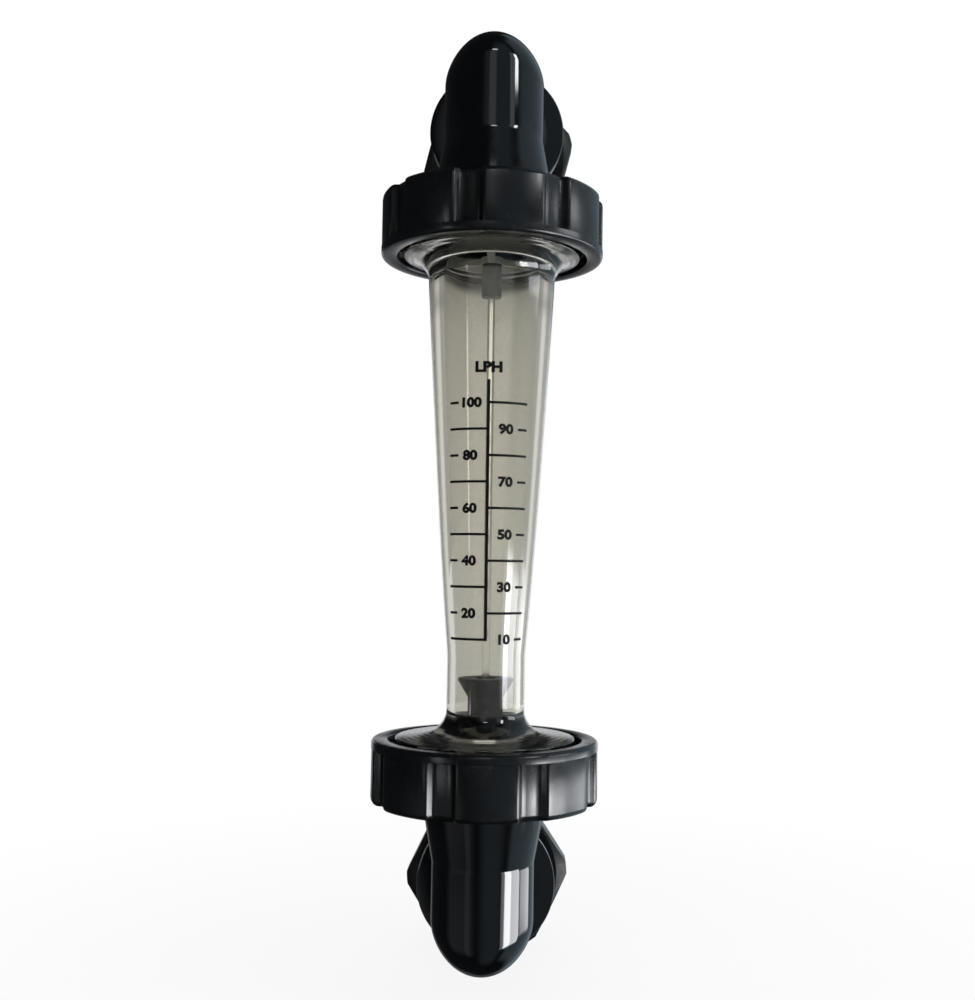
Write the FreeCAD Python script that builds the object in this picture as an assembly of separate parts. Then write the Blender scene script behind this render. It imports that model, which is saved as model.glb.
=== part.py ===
"""Panel rotameter: a tapered clear metering tube between two elbows with threaded spigots.

Millimetres, +Z up along the metering tube, +Y into the panel, scale facing -Y.
The origin is on the inlet spigot's axis, at the panel face of its collar.
Heights inside an elbow, union nut or O-ring are measured from the arm axis of that end.
"""
import FreeCAD, Part
import math
import os
from FreeCAD import Vector

# Whole instrument
PORT_SPACING = 166.0        # inlet spigot axis to outlet spigot axis
TUBE_OFFSET = 27.4          # metering tube axis in front of the panel face

# Clearances
RUNNING_CLEARANCE = 0.05    # radial, between parts that turn or slide on each other
SEAT_CLEARANCE = 0.02       # between parts that are held still against each other
AXIAL_PLAY = 0.05           # along the axis, under a lip or a guide ring

# Elbow: a leg up the tube's axis and an arm into the panel
PIPE_OD = 20.2
PIPE_BORE = 14.0
HEEL_RADIUS = 6.7           # rounding of the outer corner, seen from the side
FLARE_START = 11.0          # height where the leg begins to widen
FLARE_OD = 24.4             # leg at the union nut's open face
FLARE_BULGE = 0.15          # how far the flare curves outside a straight cone
HEAD_THICKNESS = 6.0        # threaded head that the union nut screws onto

# Collar and spigot of the arm, measured along it
COLLAR_OD = 30.0
COLLAR_THICKNESS = 3.4
COLLAR_EDGE = 0.4
THREAD_OD = 20.95           # G 1/2 pipe thread
THREAD_LENGTH = 28.9
TIP_OD = 18.3
TIP_LENGTH = 3.2
TIP_CHAMFER = 0.8
PORT_BORE = 15.0            # along the whole spigot

# Union nut
NUT_FOOT = 22.9             # height of the open face above the arm axis
NUT_HEIGHT = 12.0
NUT_BORE = 40.2
NUT_WALL = 2.25             # at the rim
NUT_SHOULDER = 1.2          # rounding of the lobes at the open face
RIM_HEIGHT = 1.2            # plain rim on the tube side
RIM_ROUNDING = 0.7
LOBE_INSET = 0.07           # lobes stand this far inside the rim
LIP_THICKNESS = 2.2
LIP_REACH = 0.95            # how far the lip covers the flange
LOBES = 8
INLET_LOBE_TURN = 3.0       # degrees from the front to the nearest lobe's middle, towards +X
OUTLET_LOBE_TURN = 12.0
GROOVE_WIDTH = 6.0          # at the lobes' faces
GROOVE_FLOOR = 3.6
GROOVE_DEPTH = 1.4
GROOVE_ROUNDING = 0.5       # along the foot of its walls

# O-ring in the face of the elbow's head
O_RING_DIAMETER = 27.0      # through the middle of its section
O_RING_SECTION = 2.4
O_RING_GROOVE_WIDTH = 2.8

# Metering tube, one moulding with a flange at each end
FLANGE_THICKNESS = 3.4
FLANGE_EDGE = 0.3
DISC_GAP = 1.4              # from the nut's lip to the raised disc that shows inside it
DISC_RISE = 2.5
DISC_CROWN = 1.4            # rise of the disc's face from its edge to the neck
NECK_FILLET = 4.6
THROAT_OD = 15.4
THROAT_HEIGHT = 22.0        # length of the plain stretch above the lower joint face
TAPER_HEIGHT = 69.7
TAPER_STRETCHES = 12        # straight stretches that follow the taper's curve
TAPER_TOP_OD = 24.8
UPPER_NECK_OD = 25.6
BORE_BOTTOM = 12.2
BORE_TOP = 19.6             # at the top of the taper
UPPER_SEAT_BORE = 22.0
UPPER_SEAT_DEPTH = 6.3
LOWER_SEAT_BORE = 18.0
LOWER_SEAT_DEPTH = 3.0

# Guide rod, its spiders and its stops
ROD_OD = 1.6
ROD_END = 0.4               # rod beyond each hub
HUB_OD = 4.6
HUB_HEIGHT = 3.0
SPIDER_ARMS = 3
SPIDER_ARM_WIDTH = 1.4
GUIDE_RING_WALL = 1.2
STOP_OD = 4.05
UPPER_STOP_LENGTH = 7.4
LOWER_STOP_LENGTH = 4.3

# Float
FLOAT_HEAD_OD = 11.0
FLOAT_BODY_OD = 7.0
FLOAT_BODY_HEIGHT = 6.4
FLOAT_CONE_HEIGHT = 3.2
FLOAT_EDGE_HEIGHT = 0.6     # reading edge at the head
FLOAT_BORE = 2.1

# Printed scale
LOWEST_MARK = 55.1          # height of the mark for 10
MARK_PITCH = 5.06
MARKS = 10
MARK_REACH = 8.3            # from the centre line to a mark's far end, along the surface
TICK_LENGTH = 1.6
LINE_WIDTH = 0.5
CENTRE_LINE_WIDTH = 0.65
CENTRE_LINE_RISE = 4.4      # above the highest mark
INK_THICKNESS = 0.08

# Lock nut
HEX_FLATS = 32.4
HEX_BLUNTING = 0.75         # taken off each corner
HEX_THICKNESS = 8.0
HEX_FACE_OD = 31.2          # flat ring inside the corner chamfers
HEX_CHAMFER = 1.2           # chamfer's depth at the corners
INLET_LOCK_NUT = 5.6        # from the panel face to the nut
OUTLET_LOCK_NUT = 12.0
INLET_HEX_TURN = 4.2        # degrees that the corner on the +X side stands above level
OUTLET_HEX_TURN = 15.5

# Heights that follow from the sizes above
JOINT_FACE = NUT_FOOT + NUT_HEIGHT - LIP_THICKNESS - AXIAL_PLAY - FLANGE_THICKNESS
TUBE_BOTTOM = JOINT_FACE
TUBE_TOP = PORT_SPACING - JOINT_FACE
NUT_INSIDE = NUT_BORE / 2 - RUNNING_CLEARANCE
LIP_RADIUS = NUT_BORE / 2 - LIP_REACH
LOWER_HUB_TOP = TUBE_BOTTOM + LOWER_SEAT_DEPTH
UPPER_HUB_BOTTOM = TUBE_TOP - UPPER_SEAT_DEPTH
FLOAT_REST = LOWER_HUB_TOP + SEAT_CLEARANCE + LOWER_STOP_LENGTH + SEAT_CLEARANCE

ORIGIN = Vector(0, 0, 0)
UP = Vector(0, 0, 1)
ACROSS = Vector(1, 0, 0)


def rounded_face(corners):
    """Flat face in the XZ plane through (x, z, rounding) corners, each rounded by its own arc."""
    points = [Vector(x, 0, z) for x, z, rounding in corners]
    stretches = []
    for index, (x, z, rounding) in enumerate(corners):
        here = points[index]
        back = (points[index - 1] - here).normalize()
        ahead = (points[(index + 1) % len(points)] - here).normalize()
        half_angle = back.getAngle(ahead) / 2
        reach = rounding / math.tan(half_angle)
        middle = (back + ahead).normalize() * (rounding / math.sin(half_angle) - rounding)
        stretches.append((here + back * reach, here + middle, here + ahead * reach, rounding))
    edges = []
    for index, (start, middle, end, rounding) in enumerate(stretches):
        if rounding > 0:
            edges.append(Part.Arc(start, middle, end).toShape())
        following = stretches[(index + 1) % len(stretches)][0]
        if end.distanceToPoint(following) > 1e-6:
            edges.append(Part.LineSegment(end, following).toShape())
    return Part.Face(Part.Wire(edges))


def turned(corners, degrees=360):
    """Solid of revolution about Z through (radius, height) or (radius, height, rounding) corners."""
    full = [corner if len(corner) == 3 else (*corner, 0) for corner in corners]
    return rounded_face(full).revolve(ORIGIN, UP, degrees)


def ring(outer, inner, bottom, top):
    """Plain ring or sleeve about Z, from its two radii."""
    return turned([(inner, bottom), (outer, bottom), (outer, top), (inner, top)])


def laid_along_arm(shape):
    """Turns a shape made about Z so that it lies along +Y."""
    shape.rotate(ORIGIN, ACROSS, -90)
    return shape


def at_inlet(shape):
    shape.translate(Vector(0, -TUBE_OFFSET, 0))
    return shape


def at_outlet(shape):
    """Places a shape of the inlet end upside down at the outlet end."""
    shape.rotate(ORIGIN, Vector(0, 1, 0), 180)
    shape.translate(Vector(0, -TUBE_OFFSET, PORT_SPACING))
    return shape


def heel(radius, rounding):
    """Outer corner of a pipe bend: an arc of the given rounding that shrinks with the pipe's width.

    Each slice across X is the middle slice scaled by the pipe's half width there, so the corner
    runs smoothly into both pipes. The surface is exact: a quarter arc swept by a half ellipse.
    """
    corner = radius - rounding
    arc = [(-radius, -corner), (-radius, -radius), (-corner, -radius)]
    half_ellipse = [(-radius, 0), (-radius, 1), (0, 1), (radius, 1), (radius, 0)]
    bend = math.sqrt(0.5)
    arc_weights = [1, bend, 1]
    ellipse_weights = [1, bend, 1, bend, 1]
    poles = [[Vector(x, share * y, share * z) for y, z in arc] for x, share in half_ellipse]
    weights = [[outer * inner for inner in arc_weights] for outer in ellipse_weights]
    surface = Part.BSplineSurface()
    surface.buildFromPolesMultsKnots(poles, [3, 2, 3], [3, 3], [0, 1, 2], [0, 1],
                                     False, False, 2, 2, weights)
    skin = surface.toShape()
    side_v, side_h = [surface.vIso(value).toShape() for value in (0, 1)]
    spine = Part.LineSegment(Vector(-radius, 0, 0), Vector(radius, 0, 0)).toShape()
    flanks = [Part.Face(Part.Wire([side, spine])) for side in (side_v, side_h)]
    shell = Part.makeShell([skin] + flanks)
    shell.sewShape()
    solid = Part.makeSolid(shell)
    if solid.Volume < 0:
        solid.reverse()
    return solid


def pipe_bend(radius, rounding, leg_length, arm_length):
    """Solid right-angle bend: a leg along +Z and an arm along +Y, rounded at the outer corner."""
    size = 4 * max(leg_length, arm_length)
    tilt = math.degrees(math.atan2(radius - rounding, radius))
    upper_space = Part.makeBox(size, size, size, Vector(-size / 2, -size / 2, 0))
    upper_space.rotate(ORIGIN, ACROSS, tilt)
    rear_space = Part.makeBox(size, size, size, Vector(-size / 2, 0, -size / 2))
    rear_space.rotate(ORIGIN, ACROSS, -tilt)
    leg = Part.makeCylinder(radius, leg_length + radius, Vector(0, 0, -radius), UP)
    arm = Part.makeCylinder(radius, arm_length + radius, Vector(0, -radius, 0), Vector(0, 1, 0))
    bend = leg.common(upper_space).fuse([arm.common(rear_space), heel(radius, rounding)])
    return bend.removeSplitter()


def elbow():
    """Elbow with its flared leg, threaded head, O-ring groove, panel collar and spigot."""
    pipe = PIPE_OD / 2
    flare = FLARE_OD / 2
    head = NUT_INSIDE
    head_foot = JOINT_FACE - HEAD_THICKNESS
    collar_start = TUBE_OFFSET - COLLAR_THICKNESS
    thread_end = TUBE_OFFSET + THREAD_LENGTH
    tip_end = thread_end + TIP_LENGTH
    body = pipe_bend(pipe, HEEL_RADIUS, FLARE_START, collar_start)

    curve_height = (FLARE_START + NUT_FOOT) / 2
    curve_radius = (pipe + flare) / 2 + FLARE_BULGE
    flare_arc = Part.Arc(Vector(pipe, 0, FLARE_START), Vector(curve_radius, 0, curve_height),
                         Vector(flare, 0, NUT_FOOT))
    outline = [Vector(flare, 0, NUT_FOOT), Vector(flare, 0, head_foot), Vector(head, 0, head_foot),
               Vector(head, 0, JOINT_FACE), Vector(0, 0, JOINT_FACE), Vector(0, 0, FLARE_START),
               Vector(pipe, 0, FLARE_START)]
    sides = [Part.LineSegment(a, b).toShape() for a, b in zip(outline, outline[1:])]
    leg = Part.Face(Part.Wire([flare_arc.toShape()] + sides)).revolve(ORIGIN, UP, 360)

    spigot = turned([
        (0, collar_start),
        (COLLAR_OD / 2, collar_start, COLLAR_EDGE),
        (COLLAR_OD / 2, TUBE_OFFSET, COLLAR_EDGE),
        (THREAD_OD / 2, TUBE_OFFSET),
        (THREAD_OD / 2, thread_end),
        (TIP_OD / 2, thread_end),
        (TIP_OD / 2, tip_end - TIP_CHAMFER),
        (TIP_OD / 2 - TIP_CHAMFER, tip_end),
        (0, tip_end)])
    body = body.fuse([leg, laid_along_arm(spigot)]).removeSplitter()

    bore = PIPE_BORE / 2
    wall = pipe - bore
    passage = pipe_bend(bore, HEEL_RADIUS - wall, JOINT_FACE + 1, TUBE_OFFSET + 1)
    port = laid_along_arm(ring(PORT_BORE / 2, 0, TUBE_OFFSET, tip_end + 1))
    groove_inner = (O_RING_DIAMETER - O_RING_GROOVE_WIDTH) / 2
    groove_outer = (O_RING_DIAMETER + O_RING_GROOVE_WIDTH) / 2
    groove = ring(groove_outer, groove_inner, JOINT_FACE - O_RING_SECTION - SEAT_CLEARANCE,
                  JOINT_FACE + 1)
    return body.cut([passage, port, groove])


def o_ring():
    height = JOINT_FACE - O_RING_SECTION / 2 - SEAT_CLEARANCE / 2
    return Part.makeTorus(O_RING_DIAMETER / 2, O_RING_SECTION / 2, Vector(0, 0, height), UP)


def union_nut(turn):
    """Union nut: eight grip lobes, a plain rim on the tube side and a lip that pulls the flange down."""
    top = NUT_FOOT + NUT_HEIGHT
    bore = NUT_BORE / 2
    rim = bore + NUT_WALL
    lobe = rim - LOBE_INSET
    rim_foot = top - RIM_HEIGHT
    body = turned([
        (bore, NUT_FOOT),
        (lobe, NUT_FOOT, NUT_SHOULDER),
        (lobe, rim_foot),
        (rim, rim_foot),
        (rim, top, RIM_ROUNDING),
        (LIP_RADIUS, top, FLANGE_EDGE),
        (LIP_RADIUS, top - LIP_THICKNESS),
        (bore, top - LIP_THICKNESS)])

    slope = (GROOVE_WIDTH - GROOVE_FLOOR) / 2 / GROOVE_DEPTH
    floor = lobe - GROOVE_DEPTH
    mouth = lobe + GROOVE_DEPTH
    mouth_half = GROOVE_FLOOR / 2 + (mouth - floor) * slope
    section = rounded_face([(-GROOVE_FLOOR / 2, floor, GROOVE_ROUNDING),
                            (GROOVE_FLOOR / 2, floor, GROOVE_ROUNDING),
                            (mouth_half, mouth, 0), (-mouth_half, mouth, 0)])
    section.rotate(ORIGIN, ACROSS, 90)
    section.translate(Vector(0, 0, NUT_FOOT - 1))
    groove = section.extrude(Vector(0, 0, rim_foot - NUT_FOOT + 1))
    grooves = []
    for index in range(LOBES):
        cutter = groove.copy()
        cutter.rotate(ORIGIN, UP, turn + (index + 0.5) * 360 / LOBES)
        grooves.append(cutter)
    return body.cut(grooves)


def taper_line(bottom_diameter, top_diameter):
    """Corners (radius, height) of a taper whose area grows evenly, as a scale with even marks needs."""
    line = []
    for index in range(TAPER_STRETCHES + 1):
        share = index / TAPER_STRETCHES
        square = bottom_diameter**2 + share * (top_diameter**2 - bottom_diameter**2)
        line.append((math.sqrt(square) / 2, TUBE_BOTTOM + THROAT_HEIGHT + share * TAPER_HEIGHT))
    return line


def taper_radius(height):
    """Outer radius of the metering tube at a height on its taper."""
    line = taper_line(THROAT_OD, TAPER_TOP_OD)
    (low, start), (high, end) = next(pair for pair in zip(line, line[1:]) if pair[1][1] >= height)
    return low + (height - start) / (end - start) * (high - low)


def metering_tube():
    """Clear tube with a flange, a raised disc and a seat for a guide at each end."""
    flange = NUT_INSIDE
    disc = LIP_RADIUS - DISC_GAP
    lower_disc = TUBE_BOTTOM + FLANGE_THICKNESS
    upper_disc = TUBE_TOP - FLANGE_THICKNESS
    outside = [
        (flange, TUBE_BOTTOM, FLANGE_EDGE),
        (flange, lower_disc, FLANGE_EDGE),
        (disc, lower_disc),
        (disc, lower_disc + DISC_RISE, FLANGE_EDGE),
        (THROAT_OD / 2, lower_disc + DISC_RISE + DISC_CROWN, NECK_FILLET),
        *taper_line(THROAT_OD, TAPER_TOP_OD),
        (UPPER_NECK_OD / 2, upper_disc - DISC_RISE - DISC_CROWN, NECK_FILLET),
        (disc, upper_disc - DISC_RISE, FLANGE_EDGE),
        (disc, upper_disc),
        (flange, upper_disc, FLANGE_EDGE),
        (flange, TUBE_TOP, FLANGE_EDGE)]
    inside = [
        (UPPER_SEAT_BORE / 2, TUBE_TOP),
        (UPPER_SEAT_BORE / 2, UPPER_HUB_BOTTOM),
        (BORE_TOP / 2, UPPER_HUB_BOTTOM),
        *taper_line(BORE_BOTTOM, BORE_TOP)[::-1],
        (BORE_BOTTOM / 2, LOWER_HUB_TOP),
        (LOWER_SEAT_BORE / 2, LOWER_HUB_TOP),
        (LOWER_SEAT_BORE / 2, TUBE_BOTTOM)]
    return turned(outside + inside)


def guide(seat_bore, ring_bottom, ring_top, hub_bottom):
    """Spider that centres the guide rod: an outer ring, three arms and a hub."""
    outer = seat_bore / 2 - SEAT_CLEARANCE
    rim = ring(outer, outer - GUIDE_RING_WALL, ring_bottom, ring_top)
    hub = ring(HUB_OD / 2, 0, hub_bottom, hub_bottom + HUB_HEIGHT)
    arms = []
    for index in range(SPIDER_ARMS):
        arm = Part.makeBox(SPIDER_ARM_WIDTH, outer - GUIDE_RING_WALL / 2, HUB_HEIGHT,
                           Vector(-SPIDER_ARM_WIDTH / 2, 0, hub_bottom))
        arm.rotate(ORIGIN, UP, 180 + index * 360 / SPIDER_ARMS)
        arms.append(arm)
    rod_hole = Part.makeCylinder(ROD_OD / 2 + SEAT_CLEARANCE, HUB_HEIGHT + 2,
                                 Vector(0, 0, hub_bottom - 1), UP)
    return rim.fuse([hub] + arms).cut(rod_hole).removeSplitter()


def upper_guide():
    return guide(UPPER_SEAT_BORE, UPPER_HUB_BOTTOM + SEAT_CLEARANCE, TUBE_TOP - SEAT_CLEARANCE,
                 UPPER_HUB_BOTTOM + SEAT_CLEARANCE)


def lower_guide():
    top = LOWER_HUB_TOP - SEAT_CLEARANCE
    return guide(LOWER_SEAT_BORE, TUBE_BOTTOM + SEAT_CLEARANCE, top, top - HUB_HEIGHT)


def guide_rod():
    bottom = LOWER_HUB_TOP - SEAT_CLEARANCE - HUB_HEIGHT - ROD_END
    top = UPPER_HUB_BOTTOM + SEAT_CLEARANCE + HUB_HEIGHT + ROD_END
    return Part.makeCylinder(ROD_OD / 2, top - bottom, Vector(0, 0, bottom), UP)


def stop(bottom, length):
    """Sleeve pressed onto the guide rod."""
    return ring(STOP_OD / 2, ROD_OD / 2 + SEAT_CLEARANCE, bottom, bottom + length)


def upper_stop():
    return stop(UPPER_HUB_BOTTOM - UPPER_STOP_LENGTH, UPPER_STOP_LENGTH)


def lower_stop():
    return stop(LOWER_HUB_TOP + SEAT_CLEARANCE, LOWER_STOP_LENGTH)


def indicating_float():
    """Float with a sharp reading edge on top, standing on the lower stop."""
    bore = FLOAT_BORE / 2
    body = FLOAT_BODY_OD / 2
    head = FLOAT_HEAD_OD / 2
    cone_foot = FLOAT_REST + FLOAT_BODY_HEIGHT
    edge_foot = cone_foot + FLOAT_CONE_HEIGHT
    top = edge_foot + FLOAT_EDGE_HEIGHT
    return turned([(bore, FLOAT_REST), (body, FLOAT_REST), (body, cone_foot), (head, edge_foot),
                   (head, top), (bore, top)])


def ink(bottom, top, from_angle, to_angle):
    """One printed line on the taper, between two heights and two angles from the front in degrees."""
    bends = [height for radius, height in taper_line(THROAT_OD, TAPER_TOP_OD) if bottom < height < top]
    heights = [bottom, *bends, top]
    inside = [(taper_radius(height) + SEAT_CLEARANCE, height) for height in heights]
    outside = [(radius + INK_THICKNESS, height) for radius, height in inside]
    line = turned(outside + inside[::-1], to_angle - from_angle)
    line.rotate(ORIGIN, UP, from_angle - 90)
    return line


def scale_marks():
    """Centre line with ten marks to alternate sides, and a short tick across from each mark."""
    highest = LOWEST_MARK + (MARKS - 1) * MARK_PITCH
    middle_radius = taper_radius((LOWEST_MARK + highest) / 2)
    half_line = math.degrees(CENTRE_LINE_WIDTH / 2 / middle_radius)
    centre = ink(LOWEST_MARK - LINE_WIDTH / 2, highest + CENTRE_LINE_RISE, -half_line, half_line)
    marks, ticks = [], []
    for index in range(MARKS):
        height = LOWEST_MARK + index * MARK_PITCH
        bottom, top = height - LINE_WIDTH / 2, height + LINE_WIDTH / 2
        reach = math.degrees(MARK_REACH / taper_radius(height))
        tick = math.degrees(TICK_LENGTH / taper_radius(height))
        if index % 2:
            marks.append(ink(bottom, top, 0, reach))
            ticks.append(ink(bottom, top, -reach, tick - reach))
        else:
            marks.append(ink(bottom, top, -reach, 0))
            ticks.append(ink(bottom, top, reach - tick, reach))
    return Part.makeCompound([centre.fuse(marks).removeSplitter()] + ticks)


def lock_nut(from_panel, turn):
    """Hexagon nut on the spigot's thread, chamfered at the corners of both faces."""
    corner = HEX_FLATS / math.sqrt(3)
    blunt = corner - HEX_BLUNTING
    points = [Vector(corner * math.cos(math.radians(60 * index)),
                     corner * math.sin(math.radians(60 * index)), 0) for index in range(6)]
    hexagon = Part.Face(Part.makePolygon(points + points[:1])).extrude(Vector(0, 0, HEX_THICKNESS))
    chamfered = turned([
        (THREAD_OD / 2 + RUNNING_CLEARANCE, 0),
        (HEX_FACE_OD / 2, 0),
        (blunt, HEX_CHAMFER),
        (blunt, HEX_THICKNESS - HEX_CHAMFER),
        (HEX_FACE_OD / 2, HEX_THICKNESS),
        (THREAD_OD / 2 + RUNNING_CLEARANCE, HEX_THICKNESS)])
    nut = hexagon.common(chamfered)
    nut.rotate(ORIGIN, UP, -turn)
    nut = laid_along_arm(nut)
    nut.translate(Vector(0, TUBE_OFFSET + from_panel, 0))
    return nut


def on_tube_axis(shape):
    shape.translate(Vector(0, -TUBE_OFFSET, 0))
    return shape


def build():
    return {
        "metering_tube": on_tube_axis(metering_tube()),
        "scale_marks": on_tube_axis(scale_marks()),
        "float": on_tube_axis(indicating_float()),
        "guide_rod": on_tube_axis(guide_rod()),
        "upper_guide": on_tube_axis(upper_guide()),
        "lower_guide": on_tube_axis(lower_guide()),
        "upper_stop": on_tube_axis(upper_stop()),
        "lower_stop": on_tube_axis(lower_stop()),
        "inlet_elbow": at_inlet(elbow()),
        "outlet_elbow": at_outlet(elbow()),
        "lower_o_ring": at_inlet(o_ring()),
        "upper_o_ring": at_outlet(o_ring()),
        "lower_union_nut": at_inlet(union_nut(INLET_LOBE_TURN)),
        "upper_union_nut": at_outlet(union_nut(-OUTLET_LOBE_TURN)),
        "inlet_lock_nut": at_inlet(lock_nut(INLET_LOCK_NUT, INLET_HEX_TURN)),
        "outlet_lock_nut": at_outlet(lock_nut(OUTLET_LOCK_NUT, OUTLET_HEX_TURN)),
    }


os.makedirs("parts", exist_ok=True)
for name, shape in build().items():
    shape.exportStep(f"parts/{name}.step")
    print(f"{name}: {len(shape.Solids)} solid(s), {shape.Volume:.1f} mm3, valid {shape.isValid()}")
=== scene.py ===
"""Dresses a panel rotameter: moulded elbows with real threads, lobed union nuts, a clear tube
blasted on its rear half, a printed scale, and a pale studio around it."""

import math

import bmesh
import bpy
from mathutils import Matrix, Vector


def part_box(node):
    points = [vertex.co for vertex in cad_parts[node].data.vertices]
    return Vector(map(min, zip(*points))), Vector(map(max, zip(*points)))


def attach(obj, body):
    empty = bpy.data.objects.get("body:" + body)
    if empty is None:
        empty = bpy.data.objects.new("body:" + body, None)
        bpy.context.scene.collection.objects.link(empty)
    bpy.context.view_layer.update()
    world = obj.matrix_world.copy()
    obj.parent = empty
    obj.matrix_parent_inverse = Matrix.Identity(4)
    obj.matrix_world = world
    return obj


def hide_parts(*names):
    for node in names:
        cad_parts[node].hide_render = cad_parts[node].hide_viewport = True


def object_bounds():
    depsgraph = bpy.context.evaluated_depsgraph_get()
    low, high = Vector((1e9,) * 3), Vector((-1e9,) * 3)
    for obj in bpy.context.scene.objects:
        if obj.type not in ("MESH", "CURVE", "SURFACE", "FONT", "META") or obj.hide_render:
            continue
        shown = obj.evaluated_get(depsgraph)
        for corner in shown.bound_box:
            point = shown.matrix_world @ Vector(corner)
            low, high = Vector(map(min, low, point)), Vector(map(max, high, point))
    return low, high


bl_info = {
    "name": "Panel rotameter",
    "version": (1, 0, 0),
    "blender": (4, 5, 0),
    "location": "View3D > Sidebar > Rotameter",
    "description": "Builds the visible pieces of a panel rotameter around its packed frame",
    "category": "Object",
}

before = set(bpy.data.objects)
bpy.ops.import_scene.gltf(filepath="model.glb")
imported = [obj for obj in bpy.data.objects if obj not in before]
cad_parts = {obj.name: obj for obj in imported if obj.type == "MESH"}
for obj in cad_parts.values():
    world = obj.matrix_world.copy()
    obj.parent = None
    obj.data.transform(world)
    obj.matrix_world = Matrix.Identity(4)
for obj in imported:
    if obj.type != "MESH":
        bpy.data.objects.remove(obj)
CAD_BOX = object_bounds()
MM = 0.001
MERGE_DISTANCE = 1e-7  # metres
SHARP_ANGLE = math.radians(32)


# Places that come from the frame, in millimetres

def span(node, axis):
    """Lowest and highest reach of a frame node along one axis."""
    low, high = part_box(node)
    return low[axis] / MM, high[axis] / MM


def middle(node, axis):
    return sum(span(node, axis)) / 2


TUBE_AXIS = middle("guide_rod", 1)
TUBE_BOTTOM, TUBE_TOP = span("metering_tube", 2)
OUTLET_AXIS = middle("outlet_lock_nut", 2)
NUT_FOOT, NUT_TOP = span("lower_union_nut", 2)
FLANGE_RADIUS = span("metering_tube", 0)[1]
NUT_RADIUS = span("lower_union_nut", 0)[1]
ARM_END = span("inlet_elbow", 1)[1] - TUBE_AXIS
PANEL = -TUBE_AXIS  # the collars' face, from the tube's axis
AT_INLET = Matrix.Translation((0, TUBE_AXIS * MM, 0))
AT_OUTLET = Matrix.Translation((0, TUBE_AXIS * MM, OUTLET_AXIS * MM)) @ Matrix.Rotation(math.pi, 4, "Y")


# Sizes and colours that a user may change

def hex_linear(code):
    """sRGB hex to linear RGBA."""
    channels = [int(code[place:place + 2], 16) / 255 for place in (1, 3, 5)]
    linear = [c / 12.92 if c <= 0.04045 else ((c + 0.055) / 1.055) ** 2.4 for c in channels]
    return (*linear, 1.0)


def length(name, description, millimetres):
    return bpy.props.FloatProperty(name=name, description=description, default=millimetres * MM,
                                   min=0, unit="LENGTH", precision=5)


def colour(name, description, code):
    return bpy.props.FloatVectorProperty(name=name, description=description, subtype="COLOR", size=4,
                                         min=0, max=1, default=hex_linear(code))


class RotameterSizes(bpy.types.PropertyGroup):
    pipe_radius: length("Pipe radius", "Outside of the elbow's leg and arm", 10.1)
    pipe_bore: length("Pipe bore", "Radius of the passage through the elbow", 7.0)
    port_bore: length("Port bore", "Radius of the passage through the spigot", 7.5)
    heel_rounding: length("Heel rounding", "Outer corner of the elbow, seen from the side", 6.7)
    flare_start: length("Flare start", "Height where the leg begins to widen", 11.0)
    flare_radius: length("Flare radius", "Leg at the union nut", 12.2)
    head_thickness: length("Head thickness", "Elbow's head inside the union nut", 6.0)
    collar_radius: length("Collar radius", "Collar that rests on the panel", 15.0)
    collar_thickness: length("Collar thickness", "Along the arm", 3.4)
    thread_radius: length("Thread radius", "Over the crests", 10.475)
    thread_root: length("Thread root", "Radius between the crests", 9.32)
    thread_pitch: length("Thread pitch", "From crest to crest", 1.814)
    tip_radius: length("Tip radius", "Plain end of the spigot", 9.15)
    tip_length: length("Tip length", "Plain end of the spigot", 3.2)
    groove_depth: length("Grip groove depth", "Between the union nut's lobes", 1.4)
    rim_height: length("Rim height", "Plain rim of the union nut", 1.85)
    lip_thickness: length("Lip thickness", "Lip of the union nut", 2.2)
    lip_radius: length("Lip radius", "Opening of the union nut's lip", 19.15)
    throat_length: length("Throat length", "Plain stretch below the taper", 22.0)
    taper_length: length("Taper length", "Height of the taper", 69.7)
    throat_radius: length("Throat radius", "Tube below the taper", 7.7)
    taper_radius: length("Taper radius", "Tube at the top of the taper", 12.4)
    neck_radius: length("Neck radius", "Tube at its upper flange", 12.8)
    bore_bottom: length("Lower bore", "Radius of the bore below the taper", 6.1)
    bore_top: length("Upper bore", "Radius of the bore at the top of the taper", 9.8)
    line_width: length("Line width", "Printed marks", 0.48)
    digit_height: length("Digit height", "Printed numbers", 1.85)


class RotameterColours(bpy.types.PropertyGroup):
    elbow: colour("Elbow", "Glossy moulded plastic", "#060709")
    nut: colour("Union nut", "Satin moulded plastic", "#0a0b0c")
    lock_nut: colour("Lock nut", "Satin moulded plastic", "#0d1110")
    acrylic: colour("Acrylic", "Clear tube", "#d9d8d1")
    blasted: colour("Blasted acrylic", "Rear half of the tube", "#d3d2ca")
    ink: colour("Ink", "Printed scale", "#0b0b0c")
    steel: colour("Steel", "Guide rod", "#f5f4f0")
    float_black: colour("Float", "Turned plastic", "#060606")
    stop_grey: colour("Stop", "Sleeve at the top of the rod", "#34383a")
    guide: colour("Guide", "Spiders that hold the rod", "#b9bab4")
    rubber: colour("Rubber", "O-rings", "#121212")
    floor: colour("Floor", "Studio floor", "#f2f2f2")


# Meshes

def joined(parts):
    """One bmesh from several."""
    whole = bmesh.new()
    for part in parts:
        data = bpy.data.meshes.new("part")
        part.to_mesh(data)
        part.free()
        whole.from_mesh(data)
        bpy.data.meshes.remove(data)
    return whole


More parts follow.
